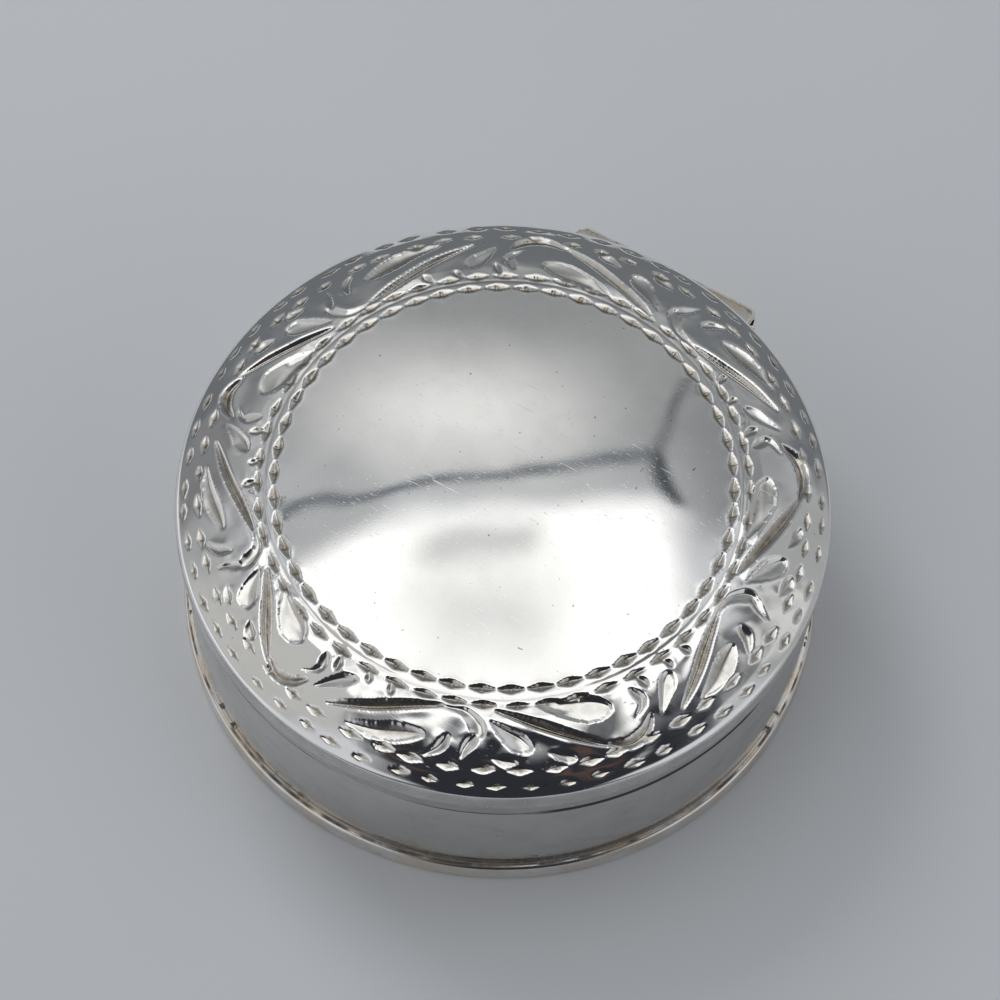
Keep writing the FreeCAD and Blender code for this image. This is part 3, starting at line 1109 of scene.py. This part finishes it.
class PILLBOX_OT_hinge_tubes(bpy.types.Operator):
    """The five hinge tubes and the pin through them"""

    bl_idname = "pill_box.hinge_tubes"
    bl_label = "Hinge Tubes and Pin"

    def execute(self, context):
        # A tone of 0.95 is painted shade: the tubes and pin are a little darker than the lid's silver.
        silver = polished_silver(
            "tube silver", faint_tarnish, hinge_dirt, hinge_warmth, 0.95, (0.14, 0.28), 0.03)
        for node in BOX_KNUCKLES:
            self.tube(node, "box", silver)
        for node in LID_KNUCKLES:
            self.tube(node, "lid", silver)
        self.pin(silver)
        return {"FINISHED"}

    def tube(self, node, body, finish):
        """One tube, with its free end rounded if it ends the hinge."""
        low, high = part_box(node)
        middle = (low.x + high.x) / 2
        length = KNUCKLE_PITCH - KNUCKLE_GAP
        start = middle - length / 2
        end = middle + length / 2
        free_round, met_round = 0.45, 0.05
        start_round = free_round if start < PIN_LOW.x + PIN_HEAD + MM else met_round
        end_round = free_round if end > PIN_HIGH.x - PIN_HEAD - MM else met_round
        inner = HINGE_LINE.z + PIN_RADIUS + 0.03 * MM
        outer = HINGE_LINE.z + KNUCKLE_RADIUS
        deselect_all()
        tube = spun_band(node.replace("knuckle", "tube"), (start, end), (inner, outer),
                         (0, start_round, end_round, 0), 64, HINGE_LINE.y, HINGE_LINE, (1, 0, 0))
        finish_piece(tube, body, [node], finish)

    def pin(self, finish):
        """Wire pin with a low domed head on each end."""
        half = PIN_HIGH.x - PIN_HEAD
        head_size = PIN_HEAD_RADIUS / PIN_RADIUS
        dome_steps = ((0.10, 0.92), (0.08, 0.78), (0.045, 0.62), (0.02, 0.4))  # mm outwards, share kept
        deselect_all()
        bpy.ops.mesh.primitive_cylinder_add(
            vertices=40, radius=PIN_RADIUS, depth=2 * half, location=HINGE_LINE,
            rotation=(0, math.radians(90), 0))
        pin = start_piece("pin_with_heads")
        for side in (-1, 1):
            end = (half * side, HINGE_LINE.y, HINGE_LINE.z)
            select_verts(pin, lambda co, s=side: co.x * s > half - CLOSE)
            bpy.ops.mesh.select_mode(type="FACE")
            bpy.ops.mesh.extrude_region_move()
            bpy.ops.transform.resize(value=(1, head_size, head_size), center_override=end)
            for step, size in dome_steps:
                bpy.ops.mesh.extrude_region_move(TRANSFORM_OT_translate={"value": (side * step * MM, 0, 0)})
                bpy.ops.transform.resize(value=(1, size, size), center_override=end)
        close_piece(pin)
        finish_piece(pin, "box", ["hinge_pin"], finish)


# ---------------------------------------------------------------- the studio

# The light tent's panels as seen from the box, one over another. Each has its middle and its half size
# in degrees right of and behind straight up, how soft its edges are, its turn in degrees and its glow.
TENT_PANELS = (
    ("back wall", (0, 95), (200, 62), 14, 0, (0.15, 0.16, 0.17)),
    ("upper back wall", (0, 42), (34, 9), 12, 0, (0.32, 0.33, 0.335)),
    ("left wall", (-70, 2), (38, 20), 9, 0, (0.34, 0.345, 0.35)),
    ("left back corner", (-48, 31), (15, 9), 6, 0, (0.20, 0.20, 0.205)),
    ("left window", (-92, 5), (24, 50), 8, 0, (0.80, 0.81, 0.83)),
    ("right wall", (72, 14), (38, 24), 9, 0, (0.37, 0.375, 0.38)),
    ("left panel", (-38, -1), (24, 15), 6, 0, (0.50, 0.50, 0.49)),
    ("right panel", (44, 10), (13, 6), 4, 0, (0.64, 0.64, 0.63)),
    ("rear panel", (-4, 35.5), (10, 3.0), 8.0, -4, (0.80, 0.80, 0.79)),
    ("top panel", (0.5, 9.5), (16, 16.5), 2.0, 8, (1.22, 1.22, 1.20)),
    ("top panel's worn middle", (-1, 16), (6, 3.5), 5, 0, (0.80, 0.80, 0.79)),
    ("top panel's dull stripe", (-1.5, 22.8), (5, 1.4), 1.8, 8, (0.66, 0.66, 0.655)),
    ("top panel's left corner", (-16.3, 25.4), (6.5, 3.5), 1.6, 35, (0.44, 0.45, 0.46)),
    ("rear seam", (-3.5, 29.0), (16.5, 0.2), 0.75, 12, (0.13, 0.15, 0.17)),
    ("dark corner", (20, 33), (4, 8), 3.0, 0, (0.24, 0.25, 0.26)),
    ("corner seam", (13.9, 36.7), (4.6, 0.2), 0.7, 72, (0.14, 0.145, 0.15)),
    ("corner pole", (13.5, 30.0), (2.6, 0.5), 0.6, -66, (0.03, 0.04, 0.05)),
    ("right post", (28, -7), (13, 16), 5, 12, (0.11, 0.115, 0.125)),
    ("right shade", (27, 0), (10, 8), 5, 0, (0.15, 0.155, 0.165)),
    ("low dark room", (0, -82), (70, 20), 8, 0, (0.15, 0.15, 0.155)),
    ("dark room", (6.5, -52), (28.5, 43), 5, 0, (0.026, 0.028, 0.034)),
    ("left curtain", (-14, -22), (5, 2), 4, 25, (0.075, 0.050, 0.047)),
    ("right curtain", (17, -24), (6, 2), 4, -20, (0.085, 0.055, 0.050)),
)


# The glow of the tent between its panels, and how far right and up the lid stands in the camera's view
TENT_GLOW = (0.62, 0.635, 0.66)
LID_IN_VIEW = (0.20 * MM, 0.09 * MM)


def right_and_behind(turn):
    """The level directions to the right in the camera's view, and away from the camera."""
    return Vector((math.cos(turn), math.sin(turn), 0)), Vector((-math.sin(turn), math.cos(turn), 0))


class PILLBOX_OT_studio(bpy.types.Operator):
    """Pale floor, light tent, lamp and camera"""

    bl_idname = "pill_box.studio"
    bl_label = "Studio"

    def execute(self, context):
        studio = settings().studio
        self.aim_camera(context, studio)
        self.lay_floor()
        self.hang_lamp(studio)
        self.hang_tent(context, studio)
        context.scene.view_settings.view_transform = "Standard"
        return {"FINISHED"}

    def aim_camera(self, context, studio):
        """Stand the camera where it sees the box from the front, high up."""
        rise, roll = studio.elevation, studio.roll
        right, behind = right_and_behind(studio.azimuth)
        back = Vector((0, 0, math.sin(rise))) - behind * math.cos(rise)
        up = back.cross(right)
        tilted_right = right * math.cos(roll) + up * math.sin(roll)
        tilted_up = up * math.cos(roll) - right * math.sin(roll)
        aim = Vector((0, 0, LID_EDGE_HEIGHT)) - tilted_right * LID_IN_VIEW[0] - tilted_up * LID_IN_VIEW[1]
        deselect_all()
        bpy.ops.object.camera_add()
        camera = context.object
        camera.name = "studio_camera"
        camera.data.lens = studio.lens
        camera.data.sensor_width = 36
        camera.data.clip_start = 0.01
        camera.matrix_world = Matrix.Translation(aim + back * studio.distance) @ Matrix(
            (tilted_right, tilted_up, back)).transposed().to_4x4()
        context.scene.camera = camera

    def lay_floor(self):
        """A wide pale floor with the faint mottling of card."""
        deselect_all()
        bpy.ops.mesh.primitive_plane_add(size=4)
        floor = bpy.context.object
        floor.name = "studio_floor"
        finish = Finish("floor card")
        colour = settings().colours.floor
        mottle = finish.ramp(finish.noise(finish.mapped((0.02, 0.02, 0.02)), 1.0, 3.0), 0.3, 0.7)
        mottled = finish.blend(mottle, [0.975 * part for part in colour], colour)
        finish.join(mottled, finish.shader.inputs["Base Color"])
        finish.shader.inputs["Roughness"].default_value = 0.62
        finish.shader.inputs["Specular IOR Level"].default_value = 0.25
        floor.data.materials.append(finish.material)

    def hang_lamp(self, studio):
        """A large soft lamp behind and to the left, for the floor alone: the silver shows only the tent."""
        right, behind = right_and_behind(studio.azimuth)
        distance = 360 * MM
        place = (-0.42 * right + 0.60 * behind + 0.68 * Vector((0, 0, 1))) * distance
        facing_box = place.to_track_quat("Z", "Y").to_euler()
        deselect_all()
        bpy.ops.object.light_add(type="AREA", location=place, rotation=facing_box)
        lamp = bpy.context.object
        lamp.name = "studio_lamp"
        lamp.data.size = 140 * MM
        lamp.data.energy = 0.24
        lamp.visible_glossy = False

    def hang_tent(self, context, studio):
        """A light tent all round, whose panels are seen in the silver."""
        world = bpy.data.worlds.new("light_tent")
        world.use_nodes = True
        tent = NodeWork(world.node_tree)
        heading = tent.add("ShaderNodeTexCoord").outputs["Generated"]

        def along(direction):
            node = tent.add("ShaderNodeVectorMath", operation="DOT_PRODUCT")
            tent.join(heading, node.inputs[0])
            node.inputs[1].default_value = direction
            return node.outputs["Value"]

        right, behind = [along(direction) for direction in right_and_behind(studio.azimuth)]
        lean = tent.times(tent.math("ARCCOSINE", along((0, 0, 1))), math.degrees(1))
        level = tent.math("SQRT", tent.math("ADD", tent.times(right, right), tent.times(behind, behind)))
        spread = tent.math("DIVIDE", lean, tent.larger(level, 0.001))
        across = tent.times(right, spread)
        away = tent.times(behind, spread)
        light = TENT_GLOW
        for _, middle, half, soft, tilt, glow in TENT_PANELS:
            share = self.panel(tent, across, away, middle, half, soft, math.radians(tilt))
            light = tent.blend(share, light, glow)
        background = tent.nodes["Background"]
        tent.join(light, background.inputs["Color"])
        context.scene.world = world

    def panel(self, tent, across, away, middle, half, soft, tilt):
        """1 on one panel of the tent and 0 off it, with soft edges."""
        across = tent.math("SUBTRACT", across, middle[0])
        away = tent.math("SUBTRACT", away, middle[1])
        cos, sin = math.cos(tilt), math.sin(tilt)
        turned = tent.math("ADD", tent.times(across, cos), tent.times(away, sin))
        other = tent.math("SUBTRACT", tent.times(away, cos), tent.times(across, sin))
        shares = [tent.ramp(tent.math("ABSOLUTE", value), max(size - soft, 0), size + soft, 1.0, 0.0)
                  for value, size in ((turned, half[0]), (other, half[1]))]
        return tent.times(*shares)


# ---------------------------------------------------------------- the add-on

class PILLBOX_PT_pieces(bpy.types.Panel):
    """Lists the pieces that can be built"""

    bl_label = "Pill Box"
    bl_idname = "PILLBOX_PT_pieces"
    bl_space_type = "VIEW_3D"
    bl_region_type = "UI"
    bl_category = "Pill Box"

    def draw(self, context):
        box = context.scene.pill_box
        for group in (box.lid, box.engraving, box.colours, box.studio):
            column = self.layout.column()
            for name in group.bl_rna.properties.keys():
                if name not in ("rna_type", "name"):
                    column.prop(group, name)
        for operator in OPERATORS:
            self.layout.operator(operator.bl_idname)


OPERATORS = (
    PILLBOX_OT_engraved_lid,
    PILLBOX_OT_lid_band,
    PILLBOX_OT_side_wall,
    PILLBOX_OT_inner_bezel,
    PILLBOX_OT_base,
    PILLBOX_OT_hinge_bearers,
    PILLBOX_OT_hinge_tubes,
    PILLBOX_OT_studio,
)
CLASSES = (
    PillBoxLidSizes,
    PillBoxEngravingSizes,
    PillBoxColours,
    PillBoxStudio,
    PillBoxSettings,
    *OPERATORS,
    PILLBOX_PT_pieces,
)


def register():
    for each in CLASSES:
        bpy.utils.register_class(each)
    bpy.types.Scene.pill_box = bpy.props.PointerProperty(type=PillBoxSettings)


def unregister():
    del bpy.types.Scene.pill_box
    for each in reversed(CLASSES):
        bpy.utils.unregister_class(each)


def main():
    """Build every piece and the studio."""
    register()
    bpy.ops.pill_box.engraved_lid()
    bpy.ops.pill_box.lid_band()
    bpy.ops.pill_box.side_wall()
    bpy.ops.pill_box.inner_bezel()
    bpy.ops.pill_box.base()
    bpy.ops.pill_box.hinge_bearers()
    bpy.ops.pill_box.hinge_tubes()
    bpy.ops.pill_box.studio()


if __name__ == "__main__":
    main()
